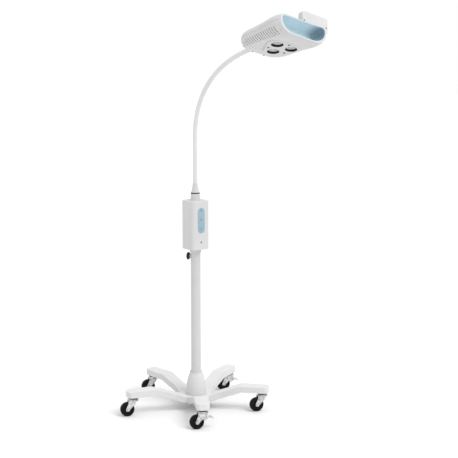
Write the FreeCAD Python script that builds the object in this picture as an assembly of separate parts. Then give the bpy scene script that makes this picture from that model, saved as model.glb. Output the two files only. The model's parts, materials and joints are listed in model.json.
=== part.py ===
"""Mobile examination lamp: five-leg caster stand, column, control box, gooseneck and three-lens LED head.

Millimetres, +Z up. The origin is on the column's axis at floor level. The lamp stands in its posed state:
the gooseneck is bent forward and the head looks out along the neck.
"""
import FreeCAD
import Part
import math
import os

from FreeCAD import Matrix, Placement, Rotation, Vector

# ---------------------------------------------------------------- driving dimensions
# Stand
LEG_COUNT = 5
FIRST_LEG_DEG = -84.7          # heading of the leg that carries the braked front caster
CASTER_CIRCLE_R = 305.0        # column axis to caster swivel axis
LEG_END_R = 333.0
LEG_WIDTH = 62.0
LEG_THICKNESS = 26.0
PAD_TOP_Z = 113.0              # flat raised pad over each caster
PAD_START_R = 205.0
HUB_TOP_Z = 64.0
HUB_R = 78.0
SOCKET_R = 33.0                # boss that holds the column
SOCKET_TOP_Z = 128.0
COLUMN_R = 22.0
COLUMN_WALL = 1.6
COLUMN_BOTTOM_Z = HUB_TOP_Z - 5
COLUMN_TOP_Z = 728.0
CONE_TOP_Z = 168.0
COLUMN_BOLT_R = 8.0
PAD_BOTTOM_Z = PAD_TOP_Z - LEG_THICKNESS

# Casters
WHEEL_R = 31.75
WHEEL_WIDTH = 23.0
CASTER_TRAIL = 27.0
TRAIL_DEG = 193.0              # all casters trail this way, as after a push
AXLE_R = 4.0
STEM_R = 5.0
STEM_TOP_Z = PAD_TOP_Z - 7
TOP_PLATE_R = 22.0
TOP_PLATE_LOW_Z = PAD_BOTTOM_Z - 9.0
TOP_PLATE_RIM_Z = PAD_BOTTOM_Z - 5.0
TOP_PLATE_NECK_R = 17.0
CROWN_LOW_Z = 70.8
CROWN_TOP_Z = TOP_PLATE_LOW_Z - 0.4
FORK_SHEET = 2.5
CHEEK_INNER_Y = 13.2           # half the room between the fork's cheeks
PEDAL_PIVOT = (15.0, 50.0)     # forward of the swivel axis and above the floor
PEDAL_PIN_R = 2.5
BRAKED_CASTERS = {0: "front", 2: "rear"}
RUNNING_GAP = 0.08             # radial clearance of a turning fit

# Control box
BOX_TURN_DEG = 33.7            # heading of the control panel, from straight ahead (-Y)
BOX_SIDE = 92.0
BOX_BOTTOM_Z = 733.0
BOX_TOP_Z = 951.0
BOX_WALL = 2.8
BOX_CORNER_R = 15.0
POST_R = 17.0
KNOB_Z = 698.0
KNOB_HEADING_DEG = 165.0
KNOB_SCREW_R = 4.0
KNOB_R = 17.0
KNOB_GAP = 1.0                 # between the column's boss and the grip
COVER_DEPTH = 18.0
COLLAR_R = 21.0
SPIGOT_R = 14.4                # neck's pin inside the mounting post
WINDOW_HALF_WIDTH = 18.5
WINDOW_LOW_Z, WINDOW_HIGH_Z = 807.0, 920.5
SENSOR_EYE_Z = 767.0
INLET_Z = 775.0

# Gooseneck
NECK_R = 9.7
NECK_PLANE_DEG = -50.3         # heading in which the neck leans out
RING_Z = 980.0                 # black ring between the collar and the neck
SWIVEL_Z = 985.3
SIDE_JOINT_Z = (1100.0, 1181.0)
BEND_START_Z = 1262.0
BEND_DEG = (10.0, 14.0, 14.0, 14.0, 12.0, 10.1)
BEND_LENGTHS = (75.0, 80.0, 90.0, 100.0, 115.0, 120.0)
JOINT_DOME_R = 8.5
JOINT_DOME_OFFSET = 9.0        # dome centre from the joint it belongs to
JOINT_TAPER = 12.0
FERRULE_TOP_Z = 1026.0
HEAD_FERRULE_BACK = 26.0       # how far the head's ferrule reaches back along the neck
HEAD_SPIGOT_R = 9.0            # the ferrule's end, on which the head turns
HEAD_ROLL_DEG = 15.3           # the head leans this much to its left about the neck's end

# Head, in its own frame: X forward from the neck, Y to the left, Z up
HEAD_LENGTH = 281.0
HEAD_WALL = 3.0
# stations along the head: distance, half width, top, bottom, top corner radius, and the width and
# height of the large lower corners
HEAD_STATIONS = (
    (0, 70, 15, -27, 15, 26, 20),
    (12, 93, 18, -33, 19, 38, 27),
    (35, 111, 21, -38, 22, 48, 33),
    (90, 120, 25, -43, 24, 54, 38),
    (180, 123.5, 28, -47, 24, 56, 42),
    (HEAD_LENGTH - 12, 123, 29, -49, 24, 56, 44),
    (HEAD_LENGTH, 119.5, 26, -46, 22, 54, 42),
)
SEAM_GAP = 0.8
SEAM_REAR_Z, SEAM_FRONT_Z = -8.0, 1.0
BEZEL_DEPTH = 9.0
SCOOP_HALF_WIDTH, SCOOP_TOP, SCOOP_BOTTOM = 112.0, 22.0, -42.0
SCOOP_TOP_R, SCOOP_LOW_WIDTH, SCOOP_LOW_HEIGHT = 15.0, 66.0, 46.0
SCOOP_DEPTH = 52.0
LENS_CENTRES = ((166.0, 38.0), (166.0, -36.0), (100.0, 1.0))
LENS_DEPTH = 9.0               # lens face above the plate's lower face
LENS_RING_R = 25.0
LENS_PLATE_REACH = 40.0        # plate edge beyond each lens centre
PLATE_BOTTOM_Z = -50.5
VENT_COUNT = 16
VENT_PITCH = 13.4
HANDLE_INNER_Y, HANDLE_OUTER_Y = -6.0, 131.0
HANDLE_TOP_Z, HANDLE_DEPTH = 70.0, 28.0
HANDLE_SCREW_Z = 29.0

ORIGIN = Vector(0, 0, 0)
Z_AXIS = Vector(0, 0, 1)


# ---------------------------------------------------------------- helpers
def cylinder(radius, low, high, axis=Z_AXIS, base=ORIGIN):
    """A cylinder between two distances along an axis from a base point."""
    return Part.makeCylinder(radius, high - low, base + axis * low, axis)


def ring(outer, inner, low, high, axis=Z_AXIS, base=ORIGIN):
    return cylinder(outer, low, high, axis, base).cut(cylinder(inner, low - 1, high + 1, axis, base))


def block(x0, x1, y0, y1, z0, z1):
    return Part.makeBox(x1 - x0, y1 - y0, z1 - z0, Vector(x0, y0, z0))


def turned(profile):
    """A solid of revolution about Z from (radius, height) points."""
    wire = Part.makePolygon([Vector(r, 0, z) for r, z in profile + [profile[0]]])
    return Part.Face(wire).revolve(ORIGIN, Z_AXIS, 360)


def plate(points, axis, thickness):
    """A flat polygon swept along an axis."""
    return Part.Face(Part.makePolygon(points + [points[0]])).extrude(axis * thickness)


def rotated(shape, degrees, base=ORIGIN, axis=Z_AXIS):
    copy = shape.copy()
    copy.rotate(base, axis, degrees)
    return copy


def moved(shape, offset):
    copy = shape.copy()
    copy.translate(offset)
    return copy


def fused(shapes):
    return shapes[0].multiFuse(shapes[1:]).removeSplitter()


def group(shapes):
    """Separate solids that share one node."""
    return Part.makeCompound(shapes)


def heading(degrees, radius=1.0, z=0.0):
    angle = math.radians(degrees)
    return Vector(radius * math.cos(angle), radius * math.sin(angle), z)


def rounded_edges(shape, radius, keep):
    """Fillet the edges that the test picks."""
    edges = [e for e in shape.Edges if keep(e)]
    return shape.makeFillet(radius, edges) if edges else shape


def is_upright(edge):
    a, b = edge.Vertexes[0].Point, edge.Vertexes[-1].Point
    return abs(a.x - b.x) < 1e-6 and abs(a.y - b.y) < 1e-6 and abs(a.z - b.z) > 1


def rounded_block(x0, x1, y0, y1, z0, z1, radius):
    """A block with rounded upright edges."""
    return rounded_edges(block(x0, x1, y0, y1, z0, z1), radius, is_upright)


# ---------------------------------------------------------------- stand
def leg_shape():
    """One leg along +X: low at the hub, sloping up to a flat pad over the caster."""
    low_top, low_end_r = HUB_TOP_Z, 70.0
    side = [
        Vector(0, 0, low_top), Vector(low_end_r, 0, low_top), Vector(PAD_START_R, 0, PAD_TOP_Z),
        Vector(LEG_END_R, 0, PAD_TOP_Z), Vector(LEG_END_R, 0, PAD_TOP_Z - LEG_THICKNESS),
        Vector(PAD_START_R + 8, 0, PAD_TOP_Z - LEG_THICKNESS),
        Vector(low_end_r + 8, 0, low_top - LEG_THICKNESS), Vector(0, 0, low_top - LEG_THICKNESS),
    ]
    profile = moved(plate(side, Vector(0, 1, 0), 2 * LEG_WIDTH), Vector(0, -LEG_WIDTH, 0))
    bends = (low_end_r, PAD_START_R, PAD_START_R + 8, low_end_r + 8)
    profile = rounded_edges(
        profile, 45.0,
        lambda e: all(any(abs(v.Point.x - b) < 0.1 for b in bends) for v in e.Vertexes)
        and abs(e.Vertexes[0].Point.z - e.Vertexes[-1].Point.z) < 0.1
        and abs(e.Vertexes[0].Point.y - e.Vertexes[-1].Point.y) > 1,
    )
    half, waist = LEG_WIDTH / 2, LEG_WIDTH / 2 - 3
    outline = [
        Vector(0, -44, 0), Vector(50, -44, 0), Vector(120, -waist, 0), Vector(235, -half, 0),
        Vector(LEG_END_R, -half + 2, 0), Vector(LEG_END_R, half - 2, 0), Vector(235, half, 0),
        Vector(120, waist, 0), Vector(50, 44, 0), Vector(0, 44, 0),
    ]
    plan = plate(outline, Z_AXIS, PAD_TOP_Z + 10)
    plan = rounded_edges(
        plan, 20.0, lambda e: is_upright(e) and abs(e.Vertexes[0].Point.x - LEG_END_R) < 0.1
    )
    plan = rounded_edges(
        plan, 60.0, lambda e: is_upright(e) and 40 < e.Vertexes[0].Point.x < 130
    )
    return profile.common(plan)


def leg_headings():
    return [FIRST_LEG_DEG + k * 360.0 / LEG_COUNT for k in range(LEG_COUNT)]


def base_parts():
    legs = [rotated(leg_shape(), angle) for angle in leg_headings()]
    hub = cylinder(HUB_R, HUB_TOP_Z - LEG_THICKNESS, HUB_TOP_Z)
    socket = cylinder(SOCKET_R, HUB_TOP_Z - 1, SOCKET_TOP_Z)
    casting = fused(legs + [hub, socket])
    casting = casting.cut(cylinder(COLUMN_R + 0.1, COLUMN_BOTTOM_Z - 0.5, SOCKET_TOP_Z + 1))
    casting = casting.cut(cylinder(COLUMN_BOLT_R + 0.5, 0, COLUMN_BOTTOM_Z))
    casting = casting.cut(cylinder(16.0, 0, HUB_TOP_Z - LEG_THICKNESS + 10))
    stem_centres = [heading(angle, CASTER_CIRCLE_R) for angle in leg_headings()]
    for centre in stem_centres:
        casting = casting.cut(cylinder(STEM_R, 0, STEM_TOP_Z + 1, base=centre))

    column = ring(COLUMN_R, COLUMN_R - COLUMN_WALL, COLUMN_BOTTOM_Z, COLUMN_TOP_Z)
    foot = ring(COLUMN_R - 0.5, COLUMN_BOLT_R, COLUMN_BOTTOM_Z, COLUMN_BOTTOM_Z + 30)
    knob_way = heading(KNOB_HEADING_DEG)
    knob_base = Vector(0, 0, KNOB_Z)
    boss = cylinder(9.0, COLUMN_R - 1.5, COLUMN_R + 3.0, knob_way, knob_base)
    column = fused([column, foot, boss.cut(cylinder(COLUMN_R - 0.5, KNOB_Z - 20, KNOB_Z + 20))])
    column = column.cut(cylinder(KNOB_SCREW_R, 0, COLUMN_R + 10, knob_way, knob_base))

    bolt = fused([
        cylinder(COLUMN_BOLT_R, HUB_TOP_Z - LEG_THICKNESS + 8, COLUMN_BOTTOM_Z + 26),
        hex_head(12.0, HUB_TOP_Z - LEG_THICKNESS + 1, HUB_TOP_Z - LEG_THICKNESS + 10),
    ])
    bush_inner = POST_R + RUNNING_GAP
    bush = ring(COLUMN_R - COLUMN_WALL - 0.05, bush_inner, COLUMN_TOP_Z - 95, COLUMN_TOP_Z)
    bush = fused([bush, ring(COLUMN_R, bush_inner, COLUMN_TOP_Z, BOX_BOTTOM_Z - 0.2)])
    bush = bush.cut(cylinder(KNOB_SCREW_R + 0.3, 0, COLUMN_R + 10, knob_way, knob_base))

    cone = turned([
        (46, HUB_TOP_Z + 0.3), (45.6, 75), (43.5, 100), (39.5, 125), (33.5, 148), (29.5, 158),
        (28.2, 160), (28.2, CONE_TOP_Z), (COLUMN_R + 0.4, CONE_TOP_Z), (COLUMN_R + 0.4, 157),
        (26.5, 157), (30.5, 147), (SOCKET_R + 3.5, 124), (40.5, 99), (42.6, 75), (43, HUB_TOP_Z + 0.3),
    ])
    stems = [cylinder(STEM_R, TOP_PLATE_LOW_Z - 0.1, STEM_TOP_Z, base=c) for c in stem_centres]
    plates = []
    for centre in stem_centres:
        disc = cylinder(TOP_PLATE_R, TOP_PLATE_LOW_Z, TOP_PLATE_RIM_Z, base=centre)
        disc = rounded_edges(disc, 1.4, lambda e: len(e.Vertexes) == 1 and e.Length > 1)
        disc = fused([disc, cylinder(TOP_PLATE_NECK_R, TOP_PLATE_LOW_Z + 1, PAD_BOTTOM_Z, base=centre)])
        plates.append(disc.cut(cylinder(STEM_R, 0, PAD_TOP_Z, base=centre)))
    return {
        "base_casting": casting, "column_tube": column, "column_bolt": bolt, "column_bush": bush,
        "cone_cover": cone, "caster_stems": group(stems), "caster_top_plates": group(plates),
    }


def hex_head(radius, low, high, axis=Z_AXIS, base=ORIGIN):
    """A hexagonal bolt head."""
    points = [heading(60 * k, radius, low) for k in range(6)]
    head = plate(points, Z_AXIS, high - low)
    head = head.transformed(Placement(base, Rotation(Z_AXIS, axis)).Matrix)
    return head


# ---------------------------------------------------------------- casters
def caster_fork(braked):
    """Pressed fork in its own frame: swivel axis on Z, wheel trailing towards -X."""
    outer_y = CHEEK_INNER_Y + FORK_SHEET
    crown = cylinder(24.0, CROWN_LOW_Z, CROWN_LOW_Z + 2.6)
    crown = fused([crown, cylinder(19.0, CROWN_LOW_Z, CROWN_TOP_Z)])
    front_x = 20.0 if braked else 15.0
    cheek_points = [
        Vector(front_x, 0, CROWN_LOW_Z + 1), Vector(-23, 0, CROWN_LOW_Z + 1), Vector(-24, 0, 60),
        Vector(-CASTER_TRAIL - 8.5, 0, WHEEL_R + 2), Vector(-CASTER_TRAIL - 6, 0, WHEEL_R - 7),
        Vector(-CASTER_TRAIL + 6, 0, WHEEL_R - 7), Vector(-CASTER_TRAIL + 9, 0, WHEEL_R - 1),
        Vector(-4, 0, 45), Vector(front_x, 0, 45) if braked else Vector(6, 0, 54),
    ]
    cheek = plate(cheek_points, Vector(0, 1, 0), FORK_SHEET)
    fork = fused([crown, moved(cheek, Vector(0, CHEEK_INNER_Y, 0)), moved(cheek, Vector(0, -outer_y, 0))])
    axle_base = Vector(-CASTER_TRAIL, 0, WHEEL_R)
    fork = fork.cut(cylinder(AXLE_R, -30, 30, Vector(0, 1, 0), axle_base))
    if braked:
        pin_base = Vector(PEDAL_PIVOT[0], 0, PEDAL_PIVOT[1])
        fork = fused([fork, cylinder(PEDAL_PIN_R, -outer_y - 1.5, outer_y + 1.5, Vector(0, 1, 0), pin_base)])
    return fork


def caster_axle():
    across, base = Vector(0, 1, 0), Vector(-CASTER_TRAIL, 0, WHEEL_R)
    outer_y = CHEEK_INNER_Y + FORK_SHEET
    shank = cylinder(AXLE_R, -outer_y - 0.5, outer_y + 5, across, base)
    head = cylinder(6.5, -outer_y - 3.5, -outer_y, across, base)
    nut = hex_head(7.0, outer_y, outer_y + 4, across, base)
    return fused([shank, head, nut])


def caster_wheel():
    """Hard black wheel with a rounded tread, dished sides and a hub boss."""
    half = WHEEL_WIDTH / 2
    profile = [
        (AXLE_R + RUNNING_GAP, -half - 1), (10.5, -half - 1), (11.5, -half + 3), (21.5, -half + 3),
        (23.5, -half), (27, -half), (30, -half + 2), (31.3, -half + 5), (WHEEL_R, -3), (WHEEL_R, 3),
        (31.3, half - 5), (30, half - 2), (27, half), (23.5, half), (21.5, half - 3), (11.5, half - 3),
        (10.5, half + 1), (AXLE_R + RUNNING_GAP, half + 1),
    ]
    wheel = turned(profile)
    wheel.rotate(ORIGIN, Vector(1, 0, 0), 90)
    return moved(wheel, Vector(-CASTER_TRAIL, 0, WHEEL_R))


def brake_pedal():
    """Foot lever on a cross pin, with a shoe that meets the tread when it is pushed down."""
    x, z = PEDAL_PIVOT
    sleeve = cylinder(6.0, -11.5, 11.5, Vector(0, 1, 0), Vector(x, 0, z))
    arm = moved(plate([
        Vector(x - 2, 0, z + 5), Vector(x + 24, 0, z + 1), Vector(x + 31, 0, z - 5),
        Vector(x + 30, 0, z - 8), Vector(x + 22, 0, z - 3), Vector(x - 2, 0, z + 0.5),
    ], Vector(0, 1, 0), 22), Vector(0, -11, 0))
    shoe = block(x - 8, x - 2, -9, 9, z - 13, z)
    lever = fused([sleeve, arm, shoe])
    return lever.cut(cylinder(PEDAL_PIN_R + RUNNING_GAP, -20, 20, Vector(0, 1, 0), Vector(x, 0, z)))


def caster_parts():
    parts = {}
    for k, angle in enumerate(leg_headings()):
        centre = heading(angle, CASTER_CIRCLE_R)
        turn = TRAIL_DEG - 180.0
        braked = k in BRAKED_CASTERS
        pieces = {
            f"caster_fork_{k + 1}": caster_fork(braked),
            f"caster_axle_{k + 1}": caster_axle(),
            f"caster_wheel_{k + 1}": caster_wheel(),
        }
        if braked:
            pieces[f"brake_pedal_{BRAKED_CASTERS[k]}"] = brake_pedal()
        for name, shape in pieces.items():
            parts[name] = moved(rotated(shape, turn), centre)
    return parts


# ---------------------------------------------------------------- lock knob
def knob_parts():
    """Clamp screw that presses the post from the side, and its moulded grip."""
    way, base = heading(KNOB_HEADING_DEG), Vector(0, 0, KNOB_Z)
    start = COLUMN_R + 3.0 + KNOB_GAP
    screw = cylinder(KNOB_SCREW_R - RUNNING_GAP, POST_R + 0.1, start + 9, way, base)
    grip = turned([
        (0, start), (11, start), (13, start + 2.5), (KNOB_R, start + 4), (KNOB_R, start + 9),
        (KNOB_R - 2, start + 12), (KNOB_R - 7, start + 14.5), (0, start + 15),
    ])
    for k in range(8):
        flute = cylinder(3.0, start, start + 20, base=heading(45 * k, KNOB_R + 1.6))
        grip = grip.cut(flute)
    grip = grip.transformed(Placement(base, Rotation(Z_AXIS, way)).Matrix)
    grip = grip.cut(cylinder(KNOB_SCREW_R - RUNNING_GAP, 0, start + 9, way, base))
    return {"knob_screw": screw, "knob_grip": grip}


# ---------------------------------------------------------------- control box
def slot_prism(half_width, low, high, y0, y1):
    """An upright prism with fully rounded ends, through the panel's thickness."""
    across = Vector(0, 1, 0)
    middle = block(-half_width, half_width, y0, y1, low + half_width, high - half_width)
    centres = [Vector(0, 0, z) for z in (low + half_width, high - half_width)]
    ends = [cylinder(half_width, y0, y1, across, centre) for centre in centres]
    return fused([middle] + ends)


def box_parts():
    """The control box facing -Y, before it is turned to its heading."""
    half = BOX_SIDE / 2
    split = -half + COVER_DEPTH
    outer = rounded_block(-half, half, -half, half, BOX_BOTTOM_Z, BOX_TOP_Z, BOX_CORNER_R)
    outer = rounded_edges(
        outer, 6.0, lambda e: all(abs(v.Point.z - BOX_TOP_Z) < 0.01 for v in e.Vertexes)
    )
    inner = rounded_block(
        -half + BOX_WALL, half - BOX_WALL, -half + BOX_WALL, half - BOX_WALL,
        BOX_BOTTOM_Z + BOX_WALL, BOX_TOP_Z - BOX_WALL, BOX_CORNER_R - BOX_WALL,
    )
    shell = outer.cut(inner)
    front_half = block(-half - 1, half + 1, -half - 1, split, BOX_BOTTOM_Z - 1, BOX_TOP_Z + 1)
    rear_half = block(-half - 1, half + 1, split + 0.3, half + 1, BOX_BOTTOM_Z - 1, BOX_TOP_Z + 1)
    cover, housing = shell.common(front_half), shell.common(rear_half)

    skirt = ring(COLUMN_R + 3.2, COLUMN_R + 0.5, BOX_BOTTOM_Z - 16, BOX_BOTTOM_Z + 1)
    housing = fused([housing, skirt])
    housing = housing.cut(cylinder(POST_R + 0.2, BOX_BOTTOM_Z - 1, BOX_TOP_Z + 1))

    window_hole = slot_prism(
        WINDOW_HALF_WIDTH + 0.2, WINDOW_LOW_Z - 0.2, WINDOW_HIGH_Z + 0.2, -half - 1, split + 5
    )
    across = Vector(0, 1, 0)
    eye_base = Vector(0, 0, SENSOR_EYE_Z)
    cover = cover.cut(window_hole).cut(cylinder(3.6, -half - 1, -half + 6, across, eye_base))
    window = slot_prism(WINDOW_HALF_WIDTH, WINDOW_LOW_Z, WINDOW_HIGH_Z, -half + 0.3, -half + 4.5)
    eye = cylinder(3.5, -half + 0.4, -half + 6, across, eye_base)
    eye = rounded_edges(eye, 1.0, lambda e: len(e.Vertexes) == 1 and e.Vertexes[0].Point.y < -half + 1)

    board = block(-30, 30, -half + 9.5, -half + 11.1, 752, 934)
    chips = [
        cylinder(4.5, -half + 6.5, -half + 9.6, across, Vector(0, 0, z)) for z in (826, 868, 910)
    ] + [cylinder(3.0, -half + 6.4, -half + 9.6, across, eye_base)]
    board = fused([board] + chips)
    supply = rounded_edges(block(-28, 28, 21, 41, 792, 920), 2.0, is_upright)
    supply_ribs = [block(-24, 24, 19, 21.5, z, z + 4) for z in range(800, 910, 12)]
    supply = fused([supply] + supply_ribs)

    inlet_hole = block(-14, 14, half - 6, half + 1, INLET_Z - 10, INLET_Z + 10)
    housing = housing.cut(inlet_hole)
    inlet = block(-13.9, 13.9, half - 24, half - 0.2, INLET_Z - 9.9, INLET_Z + 9.9)
    inlet_flange = block(-17, 17, half - 7, half - BOX_WALL - 0.1, INLET_Z - 13, INLET_Z + 13)
    inlet_recess = block(-11.5, 11.5, half - 18, half + 1, INLET_Z - 8, INLET_Z + 8)
    inlet = fused([inlet, inlet_flange]).cut(inlet_recess)
    pins = [block(x - 1, x + 1, half - 19, half - 6, INLET_Z + z - 2.5, INLET_Z + z + 2.5)
            for x, z in ((-6, -1), (6, -1), (0, 2))]
    inlet = fused([inlet] + pins)

    post = ring(POST_R, POST_R - 2.5, COLUMN_TOP_Z - 100, RING_Z - 1)
    post_floor = ring(31, POST_R - 2.5, BOX_BOTTOM_Z + BOX_WALL + 0.05, BOX_BOTTOM_Z + BOX_WALL + 4)
    post = fused([post, post_floor.cut(block(-40, 40, -60, split + 3, 0, 1000))])
    collar = turned([
        (POST_R + 0.1, BOX_TOP_Z + 0.05), (COLLAR_R + 2, BOX_TOP_Z + 0.05), (COLLAR_R, BOX_TOP_Z + 4),
        (COLLAR_R, RING_Z - 2), (COLLAR_R - 1, RING_Z), (SPIGOT_R + RUNNING_GAP, RING_Z),
        (SPIGOT_R + RUNNING_GAP, RING_Z - 0.8), (POST_R + 0.1, RING_Z - 0.8),
    ])
    ring_shape = ring(COLLAR_R - 1.2, SPIGOT_R + 0.3, RING_Z, SWIVEL_Z - 0.3)
    screws = [
        fused([
            cylinder(3.0, half - 0.8, half + 0.6, across, Vector(x, 0, z)),
            cylinder(1.5, half - 8, half - 0.7, across, Vector(x, 0, z)),
        ])
        for x in (-27, 27) for z in (BOX_BOTTOM_Z + 12, BOX_TOP_Z - 16)
    ]
    for screw in screws:
        housing = housing.cut(screw)
    parts = {
        "control_housing": housing, "control_front_cover": cover, "control_window": window,
        "sensor_eye": eye, "sensor_board": board, "power_supply": supply, "power_inlet": inlet,
        "mounting_post": post, "neck_collar": collar, "neck_ring": ring_shape, "cover_screws": group(screws),
    }
    return {name: rotated(shape, BOX_TURN_DEG) for name, shape in parts.items()}


# ---------------------------------------------------------------- gooseneck
def neck_points():
    """The neck's joint centres from the box upwards, and the direction of the last stretch."""
    lean = heading(NECK_PLANE_DEG)
    points = [Vector(0, 0, SWIVEL_Z)] + [Vector(0, 0, z) for z in SIDE_JOINT_Z]
    points.append(Vector(0, 0, BEND_START_Z))
    rise = 90.0
    for turn, length in zip(BEND_DEG, BEND_LENGTHS):
        rise -= turn
        angle = math.radians(rise)
        direction = lean * math.cos(angle) + Z_AXIS * math.sin(angle)
        points.append(points[-1] + direction * length)
    return points, direction


def neck_segment(length, open_start, open_end):
    """One stretch of the flexible arm along Z, with a dome at each end that has a joint."""
    start = JOINT_TAPER if open_start else 0.0
    end = length - JOINT_TAPER if open_end else length
    solids = [cylinder(NECK_R, start, end)]
    for is_open, joint_z, body_z, way in ((open_start, 0.0, start, 1), (open_end, length, end, -1)):
        if not is_open:
            continue
        centre = Vector(0, 0, joint_z + way * JOINT_DOME_OFFSET)
        solids.append(Part.makeSphere(JOINT_DOME_R, centre))
        low, high = sorted((centre.z, body_z))
        radii = (JOINT_DOME_R, NECK_R) if way > 0 else (NECK_R, JOINT_DOME_R)
        solids.append(Part.makeCone(*radii, high - low, Vector(0, 0, low)))
    return fused(solids)


def neck_parts():
    points, direction = neck_points()
    parts = {}
    last = len(points) - 2
    for k in range(last + 1):
        start, end = points[k], points[k + 1]
        along = end - start
        length = along.Length
        inset = FERRULE_TOP_Z - SWIVEL_Z - 14 if k == 0 else 0.0
        shape = neck_segment(length - inset, k > 0, k < last)
        if k == 0:
            shape = moved(shape, Vector(0, 0, inset))
        if k == last:
            shape = shape.cut(cylinder(30, length - HEAD_FERRULE_BACK + 14, length + 10))
        shape = shape.transformed(Placement(start, Rotation(Z_AXIS, along)).Matrix)
        parts[f"neck_segment_{k + 1}"] = shape

    ferrule = turned([
        (0, SWIVEL_Z - 45), (SPIGOT_R, SWIVEL_Z - 45), (SPIGOT_R, SWIVEL_Z), (COLLAR_R - 1.4, SWIVEL_Z),
        (COLLAR_R - 1.4, SWIVEL_Z + 3), (16, SWIVEL_Z + 5.5), (14, SWIVEL_Z + 18), (11.6, SWIVEL_Z + 32),
        (10.8, FERRULE_TOP_Z), (0, FERRULE_TOP_Z),
    ])
    parts["neck_ferrule"] = ferrule.cut(cylinder(NECK_R, FERRULE_TOP_Z - 14, FERRULE_TOP_Z + 10))
    return parts


def head_matrix():
    """Head frame: origin where the neck meets the rear face, X along the neck's last stretch."""
    points, forward = neck_points()
    left = Z_AXIS.cross(forward).normalize()
    up = forward.cross(left)
    roll = math.radians(HEAD_ROLL_DEG)
    left_r = left * math.cos(roll) - up * math.sin(roll)
    up_r = up * math.cos(roll) + left * math.sin(roll)
    o = points[-1]
    return Matrix(
        forward.x, left_r.x, up_r.x, o.x, forward.y, left_r.y, up_r.y, o.y,
        forward.z, left_r.z, up_r.z, o.z, 0, 0, 0, 1,
    )


# ---------------------------------------------------------------- head
def section(x, half, top, bottom, top_r, low_width, low_height):
    """A rounded outline across the head at distance x, always of eight edges."""

    def corner(side, level, width, height):
        """A quarter ellipse from the upright side (poles first) to the level side."""
        bulge = 0.5523
        cy, cz = side * (half - width), (top - height if level > 0 else bottom + height)
        poles = ((1, 0), (1, bulge), (bulge, 1), (0, 1))
        return [Vector(x, cy + side * width * a, cz + level * height * b) for a, b in poles]

    def curve(poles):
        bezier = Part.BezierCurve()
        bezier.setPoles(poles)
        return bezier.toShape()

    left_top, right_top = corner(1, 1, top_r, top_r), corner(-1, 1, top_r, top_r)
    left_low, right_low = corner(1, -1, low_width, low_height), corner(-1, -1, low_width, low_height)
    return Part.Wire([
        curve(left_top),
        Part.makeLine(left_top[3], right_top[3]),
        curve(right_top[::-1]),
        Part.makeLine(right_top[0], right_low[0]),
        curve(right_low),
        Part.makeLine(right_low[3], left_low[3]),
        curve(left_low[::-1]),
        Part.makeLine(left_low[0], left_top[0]),
    ])


def head_body(inset=0.0):
    """The head's outer form, or with an inset the space inside its walls."""
    wires = []
    for x, half, top, bottom, *corners in HEAD_STATIONS:
        x_in = x + inset if x == 0 else x
        wires.append(section(
            x_in, half - inset, top - inset, bottom + inset, *[size - inset for size in corners]
        ))
    return Part.makeLoft(wires, True, False)


def lower_corner(x):
    """Centre, width and height of the large lower corner at distance x along the head."""
    for before, after in zip(HEAD_STATIONS, HEAD_STATIONS[1:]):
        if before[0] <= x <= after[0]:
            share = (x - before[0]) / (after[0] - before[0])
            _, half, _, bottom, _, width, height = [a + (b - a) * share for a, b in zip(before, after)]
            return half - width, bottom + height, width, height


def seam_cutter(above):
    """Everything above (or below) the parting line of the two shells."""
    gap = SEAM_GAP / 2 if above else -SEAM_GAP / 2
    far = 200.0 if above else -200.0
    points = [
        Vector(-20, 0, SEAM_REAR_Z + gap), Vector(HEAD_LENGTH + 20, 0, SEAM_FRONT_Z + gap),
        Vector(HEAD_LENGTH + 20, 0, far), Vector(-20, 0, far),
    ]
    return moved(plate(points, Vector(0, 1, 0), 400), Vector(0, -200, 0))


def scoop_form(extra):
    """The hand recess in the head's front, as a solid; extra makes it larger all round."""
    wires = []
    for depth, shrink in ((0.0, 0.0), (0.4, 3.0), (0.75, 9.0), (1.0, 18.0)):
        x = HEAD_LENGTH + 1 - depth * (SCOOP_DEPTH + 1 + extra)
        grow = extra - shrink
        wires.append(section(
            x, SCOOP_HALF_WIDTH + grow, SCOOP_TOP + grow, SCOOP_BOTTOM - grow,
            SCOOP_TOP_R + grow * 0.4, SCOOP_LOW_WIDTH + grow, SCOOP_LOW_HEIGHT + grow * 1.5,
        ))
    return Part.makeLoft(wires, True, False)


def lens_plate_prism(reach, low, high):
    """A rounded triangle around the three lenses."""
    discs = [cylinder(reach, low, high, base=Vector(x, y, 0)) for x, y in LENS_CENTRES]
    spans = []
    for k in range(3):
        (ax, ay), (bx, by) = LENS_CENTRES[k], LENS_CENTRES[(k + 1) % 3]
        a, b = Vector(ax, ay, low), Vector(bx, by, low)
        side = (b - a).normalize().cross(Z_AXIS) * reach
        spans.append(plate([a - side, b - side, b + side, a + side], Z_AXIS, high - low))
    return fused(discs + spans)


def vent_slots():
    """Slanted cooling slots along the lower edge of both sides."""
    slots = []
    for k in range(VENT_COUNT):
        x = 40.0 + k * VENT_PITCH
        for side in (1, -1):
            slot = block(x, x + 3.0, 92, 135, -60, -17 if 2 <= k <= VENT_COUNT - 3 else -20)
            slot = rotated(slot, -14, Vector(x, 0, -30), Vector(0, 1, 0))
            slots.append(slot if side > 0 else slot.mirror(ORIGIN, Vector(0, 1, 0)))
    return slots


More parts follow.
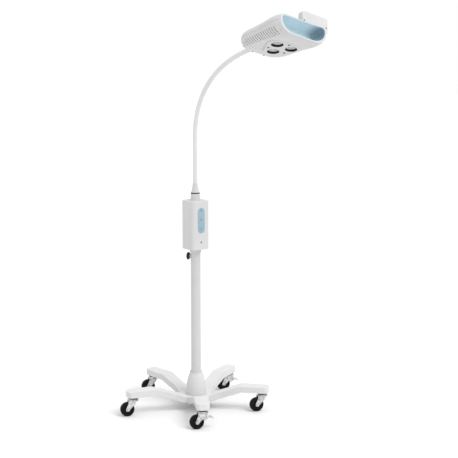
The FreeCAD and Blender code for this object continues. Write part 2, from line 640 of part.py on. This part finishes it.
def handle_shape(body):
    """Upright grip on the top rim, with a finger hollow at its back."""
    inner, outer, top = HANDLE_INNER_Y, HANDLE_OUTER_Y, HANDLE_TOP_Z
    front = HEAD_LENGTH - 1
    outline = [
        Vector(front, inner, 15), Vector(front, inner, top), Vector(front, outer, top),
        Vector(front, outer, 10), Vector(front, outer - 20, 5),
    ]
    grip = plate(outline, Vector(-1, 0, 0), HANDLE_DEPTH)
    grip = rounded_edges(
        grip, 13.0,
        lambda e: all(abs(v.Point.z - top) < 0.1 for v in e.Vertexes)
        and abs(e.Vertexes[0].Point.y - e.Vertexes[-1].Point.y) < 0.1,
    )
    grip = rounded_edges(
        grip, 5.0,
        lambda e: abs(e.BoundBox.XLength) < 0.01 and e.BoundBox.ZMax > 30,
    )
    hollow = rounded_edges(
        block(front - HANDLE_DEPTH - 1, front - HANDLE_DEPTH + 11, inner + 11, outer - 16, 36, top - 9), 4.0,
        lambda e: abs(e.Vertexes[0].Point.x - e.Vertexes[-1].Point.x) > 1,
    )
    return grip.cut(hollow).cut(body)


def shell_screw(base, outward):
    """A screw whose head stands in the shell's surface at base."""
    return fused([
        cylinder(3.2, -1.2, 1.2, outward, base),
        cylinder(1.6, -7.0, -1.1, outward, base),
    ])


def head_parts():
    body = head_body()
    cavity = head_body(inset=HEAD_WALL)
    bezel_start = HEAD_LENGTH - BEZEL_DEPTH
    before_bezel = block(-20, bezel_start - 0.15, -200, 200, -200, 200)
    after_bezel = block(bezel_start, HEAD_LENGTH + 5, -200, 200, -200, 200)
    scoop_hole = scoop_form(2.3)
    shell = body.cut(cavity)
    neck_hole = cylinder(HEAD_SPIGOT_R + RUNNING_GAP, -5, 20, Vector(1, 0, 0))
    top = shell.common(seam_cutter(True)).common(before_bezel).cut(neck_hole)
    low = shell.common(seam_cutter(False)).common(before_bezel).cut(neck_hole)
    low = low.cut(lens_plate_prism(LENS_PLATE_REACH - 4, -70, -20))
    for slot in vent_slots():
        low = low.cut(slot)
    bezel = body.common(after_bezel).cut(scoop_hole)
    scoop = scoop_hole.cut(scoop_form(0.0)).common(block(0, HEAD_LENGTH - 0.6, -200, 200, -200, 200))

    handle = handle_shape(body)
    forward = Vector(1, 0, 0)
    handle_screws = []
    for y, z in ((HANDLE_INNER_Y + 8, HANDLE_SCREW_Z), (HANDLE_OUTER_Y - 10, HANDLE_SCREW_Z)):
        base = Vector(0, y, z)
        screw = fused([
            cylinder(3.0, HEAD_LENGTH - 2.6, HEAD_LENGTH - 0.4, forward, base),
            cylinder(1.6, HEAD_LENGTH - 16, HEAD_LENGTH - 2.5, forward, base),
        ])
        handle, bezel, top = handle.cut(screw), bezel.cut(screw), top.cut(screw)
        handle_screws.append(screw)

    lip = lens_plate_prism(LENS_PLATE_REACH, PLATE_BOTTOM_Z, PLATE_BOTTOM_Z + 8)
    lip = rounded_edges(
        lip, 2.5, lambda e: e.BoundBox.ZMax < PLATE_BOTTOM_Z + 0.01 and e.BoundBox.ZLength < 0.01
    )
    plug = lens_plate_prism(LENS_PLATE_REACH - 4.3, PLATE_BOTTOM_Z + 1, PLATE_BOTTOM_Z + 8)
    lens_plate = fused([lip.cut(body), plug])
    rings, lenses = [], []
    for x, y in LENS_CENTRES:
        base = Vector(x, y, 0)
        lens_plate = lens_plate.cut(cylinder(LENS_RING_R, -80, 0, base=base))
        rings.append(ring(
            LENS_RING_R, LENS_RING_R - 1.2, PLATE_BOTTOM_Z - 0.3, PLATE_BOTTOM_Z + 16, base=base
        ))
        lens = cylinder(LENS_RING_R - 1.2, PLATE_BOTTOM_Z + LENS_DEPTH, PLATE_BOTTOM_Z + 14, base=base)
        lenses.append(lens)

    plate_middle_x = sum(x for x, _ in LENS_CENTRES) / len(LENS_CENTRES)
    plate_middle_y = sum(y for _, y in LENS_CENTRES) / len(LENS_CENTRES)
    plate_screw_places = [
        (plate_middle_x - 1.15 * (x - plate_middle_x), plate_middle_y - 1.15 * (y - plate_middle_y))
        for x, y in LENS_CENTRES
    ]
    screws = []
    for x, y in plate_screw_places:
        base = Vector(x, y, 0)
        screws.append(fused([
            cylinder(4.5, PLATE_BOTTOM_Z - 0.8, PLATE_BOTTOM_Z + 1.5, base=base),
            cylinder(2.0, PLATE_BOTTOM_Z + 1.4, PLATE_BOTTOM_Z + 6, base=base),
        ]))
    for screw in screws:
        lens_plate = lens_plate.cut(screw)
    shell_screws = []
    for x in (24.0, 262.0):
        cy, cz, width, height = lower_corner(x)
        slant = math.radians(48)
        for side in (1, -1):
            base = Vector(x, side * (cy + width * math.cos(slant)), cz - height * math.sin(slant))
            outward = Vector(0, side * math.cos(slant) / width, -math.sin(slant) / height).normalize()
            shell_screws.append(shell_screw(base, outward))
    for side in (1, -1):
        shell_screws.append(shell_screw(Vector(10, 30 * side, -32.2), Vector(0, 0, -1)))
    for screw in shell_screws:
        low = low.cut(screw)

    led_board = cylinder(60, -30.6, -29, base=Vector(plate_middle_x, 0, 0))
    leds = [block(x - 6, x + 6, y - 6, y + 6, -33, -30.5) for x, y in LENS_CENTRES]
    led_board = fused([led_board] + leds)
    fins = [block(70, 205, y, y + 2, -26, 12) for y in range(-60, 61, 10)]
    heat_sink = fused([block(70, 205, -62, 62, -28.9, -24)] + fins)

    ferrule = cylinder(13.5, -HEAD_FERRULE_BACK, -0.3, forward)
    ferrule = rounded_edges(
        ferrule, 3.0, lambda e: len(e.Vertexes) == 1 and e.Vertexes[0].Point.x < -5
    )
    ferrule = fused([
        ferrule, cylinder(HEAD_SPIGOT_R, -1, HEAD_WALL + 3.4, forward),
        cylinder(HEAD_SPIGOT_R + 2.5, HEAD_WALL + 0.4, HEAD_WALL + 3.4, forward),
    ])
    neck_space = cylinder(NECK_R + RUNNING_GAP, -HEAD_FERRULE_BACK - 5, -HEAD_FERRULE_BACK + 14.3, forward)
    parts = {
        "head_top_shell": top, "head_bottom_shell": low, "head_bezel": bezel, "head_scoop": scoop,
        "head_handle": handle, "handle_screws": group(handle_screws), "lens_plate": lens_plate,
        "lens_rings": group(rings), "lenses": group(lenses), "led_board": led_board,
        "heat_sink": heat_sink, "head_screws": group(screws + shell_screws),
        "head_ferrule": ferrule.cut(neck_space),
    }
    matrix = head_matrix()
    return {name: shape.transformed(matrix) for name, shape in parts.items()}


# ---------------------------------------------------------------- write the pieces
def main():
    os.makedirs("parts", exist_ok=True)
    parts = {}
    for build in (base_parts, caster_parts, knob_parts, box_parts, neck_parts, head_parts):
        parts.update(build())
    for name, shape in parts.items():
        solids = len(shape.Solids)
        print(f"{name:24s} solids {solids}  volume {shape.Volume / 1000:9.2f} cm3  valid {shape.isValid()}")
        shape.exportStep(f"parts/{name}.step")
    print(len(parts), "nodes")
    for k, point in enumerate(neck_points()[0]):
        print("neck joint", k, [round(c, 3) for c in point])
    m = head_matrix()
    print("head forward", [round(v, 6) for v in (m.A11, m.A21, m.A31)])
    print("head left", [round(v, 6) for v in (m.A12, m.A22, m.A32)])
    print("head up", [round(v, 6) for v in (m.A13, m.A23, m.A33)])


main()
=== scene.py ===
"""Looks of the mobile examination lamp: materials, neck sleeve, lens faces, symbols, light and camera."""
import json
import math

import bmesh
import bpy
from mathutils import Matrix, Vector


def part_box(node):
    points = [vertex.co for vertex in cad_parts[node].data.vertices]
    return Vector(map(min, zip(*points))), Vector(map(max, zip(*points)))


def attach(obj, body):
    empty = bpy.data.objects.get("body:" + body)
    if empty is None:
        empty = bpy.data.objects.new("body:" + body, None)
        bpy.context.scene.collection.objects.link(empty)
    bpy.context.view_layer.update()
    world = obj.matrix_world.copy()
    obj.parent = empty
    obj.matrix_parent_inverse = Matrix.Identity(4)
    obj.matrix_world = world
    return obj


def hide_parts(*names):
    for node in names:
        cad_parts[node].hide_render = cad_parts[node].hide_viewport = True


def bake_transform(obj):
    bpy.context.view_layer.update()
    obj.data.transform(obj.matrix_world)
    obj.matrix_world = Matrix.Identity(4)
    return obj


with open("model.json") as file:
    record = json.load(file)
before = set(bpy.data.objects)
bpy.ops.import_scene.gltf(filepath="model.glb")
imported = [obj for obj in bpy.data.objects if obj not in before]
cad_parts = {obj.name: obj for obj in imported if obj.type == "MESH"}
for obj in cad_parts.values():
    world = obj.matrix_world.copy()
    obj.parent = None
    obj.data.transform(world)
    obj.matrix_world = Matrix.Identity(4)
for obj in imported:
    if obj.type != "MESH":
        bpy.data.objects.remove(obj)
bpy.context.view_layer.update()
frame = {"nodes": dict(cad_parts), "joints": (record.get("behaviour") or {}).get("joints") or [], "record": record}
nodes = frame["nodes"]
joint_at = {joint["name"]: Vector(joint["pos_m"]) for joint in frame["joints"]}
joint_axis = {joint["name"]: Vector(joint["axis"]) for joint in frame["joints"]}

# ---------------------------------------------------------------- driving values, in metres
CAMERA_PLACE = Vector((0.0, -5.1024, 1.6483))
CAMERA_DOWN = 0.1609           # radians below level
CAMERA_RIGHT = 0.0293          # radians to the right of +Y
LENS_MM = 91.2
KEY_FROM = (0.6, -0.5, 1.0)    # direction towards the key light
KEY_STRENGTH = 1.5
KEY_ANGLE = math.radians(32)   # apparent size of the key light, which softens its shadows
SURROUND_STRENGTH = 1.0
FLOOR_REACH = 30.0

NECK_RADIUS = 0.0097
NECK_BEND_STEPS = 22           # rings along one bend of the sleeve
NECK_LEAD_STEPS = 6            # rings along a straight lead
NECK_FOOT_DEPTH = 0.012        # how far the sleeve starts below the ferrule's top
NECK_END_GAP = 0.016           # how far the sleeve stops short of the head's joint
PANEL_TURN = math.radians(33.7)
HEAD_LEAN = math.radians(15.3)
LENS_CENTRES = ((0.166, 0.038), (0.166, -0.036), (0.100, 0.001))
LENS_FACE_Z = -0.0415
LENS_RADIUS = 0.0236
LENS_STEPS = 9                 # stepped rings on a lens
LENS_STEP_WIDTH = 0.0017
RECESS_PAINTED_SHADE = (0.035, 0.125)   # from, to: distance to the head's left over which painted shade darkens the blue of the recess
LEG_EDGE = 0.0045              # rounding of the base casting's edges
HEAD_EDGE = 0.0012             # rounding of the bezel's and the grip's edges
PANEL_FACE = 0.046             # control panel in front of the column's axis
SYMBOL_HEIGHTS = (0.910, 0.868, 0.826)
SYMBOL_PROUD = 0.0002          # symbols in front of the window
SYMBOL_STROKE = 0.0011

WHITE = (0.58, 0.58, 0.587)
CASTING_WHITE = (0.62, 0.62, 0.625)
TUBE_WHITE = (0.535, 0.535, 0.537)
WARM_WHITE = (0.67, 0.67, 0.672)
PALE_BLUE = (0.54, 0.68, 0.745)
# painted shade: this darker blue stands in for the shadow on the recess's far inner wall
PAINTED_SHADE_BLUE = (0.14, 0.235, 0.30)


# ---------------------------------------------------------------- head frame
def head_matrix():
    """Head frame: X forward along the neck's end, Y to the head's left, Z up."""
    forward = joint_axis["head_turn"].normalized()
    level = Vector((0, 0, 1)).cross(forward).normalized()
    upright = forward.cross(level)
    left = level * math.cos(HEAD_LEAN) - upright * math.sin(HEAD_LEAN)
    up = upright * math.cos(HEAD_LEAN) + level * math.sin(HEAD_LEAN)
    matrix = Matrix.Identity(4)
    for column, axis in enumerate((forward, left, up, joint_at["head_turn"])):
        for row in range(3):
            matrix[row][column] = axis[row]
    return matrix


HEAD = head_matrix()


# ---------------------------------------------------------------- materials
class Shader:
    """A Principled material and a short way to add nodes to it."""

    def __init__(self, name, roughness=0.5, metallic=0.0):
        self.material = bpy.data.materials.new(name)
        self.material.use_nodes = True
        self.tree = self.material.node_tree
        self.surface = self.tree.nodes["Principled BSDF"]
        self.surface.inputs["Roughness"].default_value = roughness
        self.surface.inputs["Metallic"].default_value = metallic
        self.place = self.add("ShaderNodeTexCoord").outputs["Object"]

    def add(self, kind, **settings):
        node = self.tree.nodes.new(kind)
        for key, value in settings.items():
            setattr(node, key, value)
        return node

    def join(self, output, target):
        self.tree.links.new(output, target)

    def noise(self, size, detail=4.0, stretch=(1, 1, 1)):
        """Noise whose features are about the given size in metres."""
        mapping = self.add("ShaderNodeMapping")
        mapping.inputs["Scale"].default_value = stretch
        self.join(self.place, mapping.inputs["Vector"])
        noise = self.add("ShaderNodeTexNoise")
        noise.inputs["Scale"].default_value = 1.0 / size
        noise.inputs["Detail"].default_value = detail
        self.join(mapping.outputs["Vector"], noise.inputs["Vector"])
        return noise.outputs["Fac"]

    def ramp(self, factor, low, high, start=0.35, end=0.65):
        ramp = self.add("ShaderNodeValToRGB")
        ramp.color_ramp.elements[0].position = start
        ramp.color_ramp.elements[1].position = end
        ramp.color_ramp.elements[0].color = (*low, 1)
        ramp.color_ramp.elements[1].color = (*high, 1)
        self.join(factor, ramp.inputs["Fac"])
        return ramp.outputs["Color"]

    def spread(self, factor, low, high):
        """Maps a 0.3-0.7 noise to a range of numbers."""
        spread = self.add("ShaderNodeMapRange")
        spread.inputs["From Min"].default_value = 0.3
        spread.inputs["From Max"].default_value = 0.7
        spread.inputs["To Min"].default_value = low
        spread.inputs["To Max"].default_value = high
        self.join(factor, spread.inputs["Value"])
        return spread.outputs["Result"]

    def colour(self, factor, low, high):
        self.join(self.ramp(factor, low, high), self.surface.inputs["Base Color"])

    def roughness(self, factor, low, high):
        self.join(self.spread(factor, low, high), self.surface.inputs["Roughness"])

    def bump(self, factor, depth, strength=0.5):
        bump = self.add("ShaderNodeBump")
        bump.inputs["Distance"].default_value = depth
        bump.inputs["Strength"].default_value = strength
        self.join(factor, bump.inputs["Height"])
        self.join(bump.outputs["Normal"], self.surface.inputs["Normal"])

    def set(self, **sockets):
        for name, value in sockets.items():
            self.surface.inputs[name.replace("_", " ")].default_value = value


def shade(colour, factor):
    """The colour made lighter or darker by a factor."""
    return tuple(min(1.0, c * factor) for c in colour)


def powder_coat(name, colour):
    """Powder coat: a faint orange peel and slight unevenness of tone and gloss."""
    shader = Shader(name)
    shader.colour(shader.noise(0.09), shade(colour, 0.975), shade(colour, 1.01))
    shader.roughness(shader.noise(0.03), 0.36, 0.46)
    shader.bump(shader.noise(0.0022, 2.0), 0.00022, 0.35)
    shader.set(Coat_Weight=0.12, Coat_Roughness=0.25)
    return shader.material


def moulded_plastic(name, colour, gloss=0.42, grain=0.0007):
    """Injection-moulded plastic: spark-eroded grain, faint flow marks in the gloss."""
    shader = Shader(name)
    shader.colour(shader.noise(0.06, 3.0), shade(colour, 0.975), shade(colour, 1.01))
    shader.roughness(shader.noise(0.025, 3.0, (1, 1, 0.4)), gloss - 0.05, gloss + 0.06)
    shader.bump(shader.noise(grain, 2.0), 0.00006, 0.5)
    shader.set(Specular_IOR_Level=0.3)
    return shader.material


def flexible_sleeve(name):
    """Smooth heat-shrunk sleeve with very faint rings from the coil below it."""
    shader = Shader(name)
    shader.colour(shader.noise(0.05, 3.0), shade(WARM_WHITE, 0.96), WARM_WHITE)
    shader.roughness(shader.noise(0.012), 0.44, 0.56)
    shader.bump(shader.noise(0.0012, 3.0), 0.00010, 0.5)
    shader.set(Subsurface_Weight=0.03, Subsurface_Scale=0.002)
    return shader.material


def wheel_rubber(name):
    """Hard black wheel: slightly paler patches of floor dust over fine scuffs."""
    shader = Shader(name)
    shader.colour(shader.noise(0.012, 6.0), (0.003, 0.003, 0.0035), (0.009, 0.0085, 0.008))
    shader.roughness(shader.noise(0.006), 0.45, 0.65)
    shader.set(Specular_IOR_Level=0.12)
    shader.bump(shader.noise(0.0016, 5.0), 0.00012, 0.6)
    return shader.material


def plated_steel(name, colour, low=0.20, high=0.38):
    """Bright plated sheet: drawn lines, slight clouding and tiny pits."""
    shader = Shader(name, metallic=1.0)
    shader.colour(shader.noise(0.009, 4.0), shade(colour, 0.55), shade(colour, 1.1))
    shader.roughness(shader.noise(0.0022, 5.0, (1, 1, 5)), low, high)
    shader.bump(shader.noise(0.0012, 4.0, (1, 1, 6)), 0.00005, 0.5)
    return shader.material


def cast_aluminium(name):
    """Raw die-cast aluminium with a fine grain."""
    shader = Shader(name, metallic=1.0)
    shader.colour(shader.noise(0.008, 5.0), (0.52, 0.53, 0.54), (0.66, 0.67, 0.68))
    shader.roughness(shader.noise(0.003), 0.42, 0.62)
    shader.bump(shader.noise(0.0011, 3.0), 0.00012, 0.6)
    return shader.material


def printed_window():
    """Clear glossy window over a pale blue print; the colour is darker towards the foot than at the top."""
    shader = Shader("window_print", roughness=0.12)
    low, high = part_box("control_window")
    spot = shader.add("ShaderNodeSeparateXYZ")
    shader.join(shader.place, spot.inputs["Vector"])
    rise = shader.add("ShaderNodeMapRange")
    rise.inputs["From Min"].default_value = low.z
    rise.inputs["From Max"].default_value = high.z
    shader.join(spot.outputs["Z"], rise.inputs["Value"])
    # faint mottle added to a tone that runs darker towards the foot and lighter towards the top
    mottle_and_rise = shader.add("ShaderNodeMath", operation="MULTIPLY_ADD")
    mottle_and_rise.inputs[1].default_value = 0.06
    shader.join(shader.noise(0.004, 3.0), mottle_and_rise.inputs[0])
    shader.join(rise.outputs["Result"], mottle_and_rise.inputs[2])
    shader.join(
        shader.ramp(mottle_and_rise.outputs["Value"], (0.235, 0.35, 0.42), (0.27, 0.395, 0.465), 0.0, 1.0),
        shader.surface.inputs["Base Color"],
    )
    shader.bump(shader.noise(0.02, 2.0), 0.00004, 0.3)
    shader.set(Coat_Weight=0.8, Coat_Roughness=0.05)
    return shader.material


def recess_plastic():
    """Soft-gloss blue lining of the hand recess, with painted shade: darker towards the head's left end, where its
    inner wall lies in shadow.
    """
    shader = Shader("recess_blue")
    left = HEAD.to_3x3().col[1]
    reach = shader.add("ShaderNodeVectorMath", operation="DOT_PRODUCT")
    shader.join(shader.place, reach.inputs[0])
    reach.inputs[1].default_value = left
    # painted shade: blends the pale blue into the darker blue towards the head's left, where the recess wall is in
    # shadow
    painted_shade_share = shader.add("ShaderNodeMapRange", interpolation_type="SMOOTHSTEP")
    painted_shade_share.inputs["From Min"].default_value = HEAD.translation.dot(left) + RECESS_PAINTED_SHADE[0]
    painted_shade_share.inputs["From Max"].default_value = HEAD.translation.dot(left) + RECESS_PAINTED_SHADE[1]
    shader.join(reach.outputs["Value"], painted_shade_share.inputs["Value"])
    painted_shade_blend = shader.add("ShaderNodeMixRGB")
    shader.join(painted_shade_share.outputs["Result"], painted_shade_blend.inputs["Fac"])
    pale = shader.ramp(shader.noise(0.05, 3.0), shade(PALE_BLUE, 0.97), shade(PALE_BLUE, 1.03))
    shader.join(pale, painted_shade_blend.inputs["Color1"])
    painted_shade_blend.inputs["Color2"].default_value = (*PAINTED_SHADE_BLUE, 1)
    shader.join(painted_shade_blend.outputs["Color"], shader.surface.inputs["Base Color"])
    shader.roughness(shader.noise(0.02, 3.0), 0.28, 0.38)
    shader.bump(shader.noise(0.0012, 2.0), 0.00005, 0.4)
    shader.set(Coat_Weight=0.2, Coat_Roughness=0.15)
    return shader.material


def circuit_board():
    """Green solder mask."""
    shader = Shader("circuit_board", roughness=0.35)
    shader.colour(shader.noise(0.003, 2.0), (0.02, 0.12, 0.05), (0.04, 0.22, 0.09))
    shader.bump(shader.noise(0.0008, 2.0), 0.0001, 0.5)
    return shader.material


def clear_lens():
    """Clear moulded lens that looks pale over its reflector."""
    shader = Shader("clear_lens")
    shader.colour(shader.noise(0.006, 2.0), (0.62, 0.64, 0.66), (0.78, 0.80, 0.81))
    shader.roughness(shader.noise(0.004), 0.06, 0.16)
    shader.bump(shader.noise(0.002, 1.0), 0.00015, 0.5)
    shader.set(Coat_Weight=0.9, Coat_Roughness=0.03, Transmission_Weight=0.15)
    return shader.material


def symbol_ink():
    """Slate blue print of the window's symbols."""
    shader = Shader("symbol_ink", roughness=0.3)
    shader.colour(shader.noise(0.001, 2.0), (0.075, 0.15, 0.20), (0.10, 0.18, 0.23))
    return shader.material


def floor_material():
    """Plain pale studio floor."""
    shader = Shader("studio_floor", roughness=0.85)
    shader.colour(shader.noise(0.8, 2.0), (0.79, 0.79, 0.79), (0.80, 0.80, 0.80))
    shader.set(Specular_IOR_Level=0.1)
    return shader.material


MATERIALS = {
    "white_casting": powder_coat("powder_coat_casting", CASTING_WHITE),
    "white_tube": powder_coat("powder_coat_tube", TUBE_WHITE),
    "white_plastic": moulded_plastic("white_plastic", WHITE),
    "neck_sleeve": flexible_sleeve("neck_sleeve"),
    "black_plastic": moulded_plastic("black_plastic", (0.014, 0.014, 0.015), 0.36),
    "wheel_black": wheel_rubber("wheel_black"),
    "bright_steel": plated_steel("bright_steel", (0.70, 0.70, 0.71)),
    "dark_steel": plated_steel("dark_steel", (0.20, 0.20, 0.21), 0.3, 0.5),
    "blue_plastic": recess_plastic(),
    "blue_window": printed_window(),
    "green_board": circuit_board(),
    "lens_clear": clear_lens(),
    "aluminium": cast_aluminium("cast_aluminium"),
}

# nodes whose finish differs from the rest of their slot
BLACK_SCREW = plated_steel("black_oxide_screw", (0.035, 0.035, 0.037), 0.4, 0.6)
SPECIAL_FINISH = {
    "caster_top_plates": plated_steel("oiled_bearing_steel", (0.16, 0.16, 0.17), 0.25, 0.5),
    "head_screws": BLACK_SCREW,
    "handle_screws": BLACK_SCREW,
}


def dress_cad_nodes():
    """Gives each CAD node the finish of its slot in the record, or its own special finish."""
    for part in frame["record"]["subparts"]:
        node = nodes[part["node"]]
        finish = SPECIAL_FINISH.get(part["node"], MATERIALS[part["material_slot"]])
        node.data.materials.clear()
        node.data.materials.append(finish)


def soften_edges(names, width, angle=40):
    """Small rounded edges on CAD nodes whose edges catch the light."""
    for name in names:
        weld = nodes[name].modifiers.new("weld", "WELD")
        weld.merge_threshold = 0.00002
        bevel = nodes[name].modifiers.new("soft_edges", "BEVEL")
        bevel.width = width
        bevel.segments = 3
        bevel.limit_method = "ANGLE"
        bevel.angle_limit = math.radians(angle)
        bevel.harden_normals = True


# ---------------------------------------------------------------- mesh helpers
def mesh_piece(name, build, slot, body=None, smooth=True):
    """Makes an object from a function that fills a bmesh."""
    data = bpy.data.meshes.new(name)
    work = bmesh.new()
    build(work)
    bmesh.ops.recalc_face_normals(work, faces=work.faces)
    work.to_mesh(data)
    work.free()
    for polygon in data.polygons:
        polygon.use_smooth = smooth
    piece = bpy.data.objects.new(name, data)
    bpy.context.scene.collection.objects.link(piece)
    if isinstance(slot, str):
        data.materials.append(MATERIALS[slot])
    else:
        data.materials.append(slot)
    if body:
        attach(piece, body)
    return piece


def skin_rings(work, rings, closed_ends=False):
    """Joins rings of points into a tube."""
    rows = [[work.verts.new(point) for point in ring] for ring in rings]
    count = len(rows[0])
    for low, high in zip(rows, rows[1:]):
        for k in range(count):
            work.faces.new((low[k], low[(k + 1) % count], high[(k + 1) % count], high[k]))
    if closed_ends:
        work.faces.new(rows[0])
        work.faces.new(rows[-1])


# ---------------------------------------------------------------- gooseneck sleeve
def neck_path(start, corner, end, lead_in, lead_out):
    """Centre points of one sleeve piece: a smooth bend, with straight leads where it needs them."""
    points = []
    if lead_in is not None:
        points += [lead_in.lerp(start, k / NECK_LEAD_STEPS) for k in range(NECK_LEAD_STEPS)]
    for k in range(NECK_BEND_STEPS + 1):
        t = k / NECK_BEND_STEPS
        points.append(start * (1 - t) ** 2 + corner * 2 * t * (1 - t) + end * t ** 2)
    if lead_out is not None:
        points += [end.lerp(lead_out, (k + 1) / NECK_LEAD_STEPS) for k in range(NECK_LEAD_STEPS)]
    return points


def tube_rings(points, radius, sides=40):
    """Rings across a path, kept from twisting by one fixed side direction."""
    side = joint_axis["neck_bend_1"].normalized()
    rings = []
    for k, point in enumerate(points):
        before = points[max(k - 1, 0)]
        after = points[min(k + 1, len(points) - 1)]
        along = (after - before).normalized()
        across = along.cross(side).normalized()
        rings.append([
            point + (side * math.cos(a) + across * math.sin(a)) * radius
            for a in (2 * math.pi * s / sides for s in range(sides))
        ])
    return rings


def build_neck_sleeve():
    """Eight sleeve pieces, each bending across one joint, that together cover the neck's stretches."""
    names = ["neck_swivel", "neck_lean_1", "neck_lean_2"] + [f"neck_bend_{k}" for k in range(1, 7)]
    corners = [joint_at[name] for name in names] + [joint_at["head_turn"]]
    foot = Vector((0, 0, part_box("neck_ferrule")[1].z - NECK_FOOT_DEPTH))
    last_way = (corners[9] - corners[8]).normalized()
    for k in range(1, 9):
        start = corners[k - 1].lerp(corners[k], 0.5)
        end = corners[k].lerp(corners[k + 1], 0.5)
        lead_in = foot if k == 1 else None
        lead_out = corners[9] - last_way * NECK_END_GAP if k == 8 else None
        points = neck_path(start, corners[k], end, lead_in, lead_out)
        sleeve = mesh_piece(
            f"neck_sleeve_{k}",
            lambda work: skin_rings(work, tube_rings(points, NECK_RADIUS)),
            "neck_sleeve",
        )
        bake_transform(sleeve)
        if k == 1:
            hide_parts("neck_segment_1", "neck_segment_2")
        else:
            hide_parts(f"neck_segment_{k + 1}")


# ---------------------------------------------------------------- head details
def turned_rings(profile, centre, sides=64):
    """Rings of a turned form whose axis is the head's Z through centre, from (radius, height) points."""
    return [
        [
            HEAD @ Vector((centre[0] + r * math.cos(a), centre[1] + r * math.sin(a), z))
            for a in (2 * math.pi * s / sides for s in range(sides))
        ]
        for r, z in profile
    ]


def build_lens_faces():
    """Each lens gets stepped rings and a raised centre, as a moulded collimator has."""
    face_z = LENS_FACE_Z
    for number, centre in enumerate(LENS_CENTRES, 1):
        profile = [
            (LENS_RADIUS, face_z + 0.004), (LENS_RADIUS, face_z + 0.0004), (LENS_RADIUS - 0.0007, face_z),
        ]
        for k in range(LENS_STEPS):
            outer = LENS_RADIUS - LENS_STEP_WIDTH * (k + 1)
            profile += [
                (outer, face_z), (outer - 0.0002, face_z + 0.0011), (outer - 0.0015, face_z + 0.0002),
            ]
        profile += [(0.0040, face_z - 0.0010), (0.0020, face_z - 0.0016), (0.0003, face_z - 0.0018)]
        piece = mesh_piece(
            f"lens_face_{number}",
            lambda work: skin_rings(work, turned_rings(profile, centre), closed_ends=True),
            "lens_clear", "head",
        )
        if number == 1:
            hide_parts("lenses")


# ---------------------------------------------------------------- control panel symbols
def panel_point(across, height, proud):
    """A point on the control panel: across to the right, height above the floor, proud of the window."""
    face = -PANEL_FACE + 0.0003 - proud
    return Matrix.Rotation(PANEL_TURN, 4, "Z") @ Vector((across, face, height))


def flat_ring(work, centre, outer, inner, sides=36, start=0.0, sweep=2 * math.pi):
    """A thin flat ring or arc on the panel."""
    loops = []
    for k in range(sides + 1):
        angle = start + sweep * k / sides
        pair = []
        for radius in (inner, outer):
            pair.append(work.verts.new(panel_point(
                centre[0] + radius * math.cos(angle), centre[1] + radius * math.sin(angle), SYMBOL_PROUD
            )))
        loops.append(pair)
    for (a, b), (c, d) in zip(loops, loops[1:]):
        work.faces.new((a, b, d, c))


def flat_bar(work, start, end, width):
    """A thin straight stroke on the panel."""
    along = (Vector(end) - Vector(start)).normalized()
    side = Vector((-along.y, along.x)) * width / 2
    corners = [Vector(start) - side, Vector(end) - side, Vector(end) + side, Vector(start) + side]
    work.faces.new([work.verts.new(panel_point(c.x, c.y, SYMBOL_PROUD)) for c in corners])


def sun_symbol(work, height, disc, ray_start, ray_end):
    """A ring with eight rays."""
    middle = Vector((0, height))
    flat_ring(work, middle, disc, disc - 0.0010)
    for k in range(8):
        way = Vector((math.cos(math.pi * k / 4), math.sin(math.pi * k / 4)))
        flat_bar(work, middle + way * ray_start, middle + way * ray_end, SYMBOL_STROKE)


def power_symbol(work, height):
    """An open ring with an upright stroke."""
    flat_ring(work, (0, height), 0.0062, 0.0050, start=math.radians(120), sweep=math.radians(300))
    flat_bar(work, (0, height), (0, height + 0.0075), 0.0013)


def build_symbols():
    """Three plain symbols: on and off, brighter, dimmer."""
    ink = symbol_ink()
    top, middle, low = SYMBOL_HEIGHTS
    symbols = {
        "symbol_power": lambda work: power_symbol(work, top),
        "symbol_brighter": lambda work: sun_symbol(work, middle, 0.0034, 0.0047, 0.0072),
        "symbol_dimmer": lambda work: sun_symbol(work, low, 0.0026, 0.0038, 0.0050),
    }
    for name, build in symbols.items():
        mesh_piece(name, build, ink, "control_unit", smooth=False)


# ---------------------------------------------------------------- stage, light, camera
def build_stage():
    """A wide plain floor."""
    reach = FLOOR_REACH
    corners = ((-reach, -reach), (reach, -reach), (reach, reach), (-reach, reach))

    def build(work):
        work.faces.new([work.verts.new((x, y, 0.0)) for x, y in corners])

    floor = mesh_piece("studio_floor", build, floor_material())


def build_lights():
    """An even white surround and one broad light from the upper right front."""
    world = bpy.data.worlds.new("studio")
    world.use_nodes = True
    background = world.node_tree.nodes["Background"]
    background.inputs["Color"].default_value = (1.0, 1.0, 1.0, 1.0)
    background.inputs["Strength"].default_value = SURROUND_STRENGTH
    bpy.context.scene.world = world
    data = bpy.data.lights.new("key", "SUN")
    data.energy = KEY_STRENGTH
    data.angle = KEY_ANGLE
    key = bpy.data.objects.new("key", data)
    key.rotation_euler = (-Vector(KEY_FROM)).to_track_quat("-Z", "Y").to_euler()
    bpy.context.scene.collection.objects.link(key)


def build_camera():
    """A long lens about as high as the lamp's head, looking slightly down."""
    data = bpy.data.cameras.new("camera")
    data.sensor_width = 36.0
    data.lens = LENS_MM
    data.clip_end = 60.0
    camera = bpy.data.objects.new("camera", data)
    camera.location = CAMERA_PLACE
    camera.rotation_euler = (math.pi / 2 - CAMERA_DOWN, 0.0, -CAMERA_RIGHT)
    bpy.context.scene.collection.objects.link(camera)
    bpy.context.scene.camera = camera
    bpy.context.scene.view_settings.view_transform = "Standard"


# ---------------------------------------------------------------- put together
build_camera()
build_lights()
build_stage()
dress_cad_nodes()
soften_edges(["base_casting"], LEG_EDGE, angle=15)
soften_edges(["head_handle", "head_bezel"], HEAD_EDGE)
build_neck_sleeve()
build_lens_faces()
build_symbols()
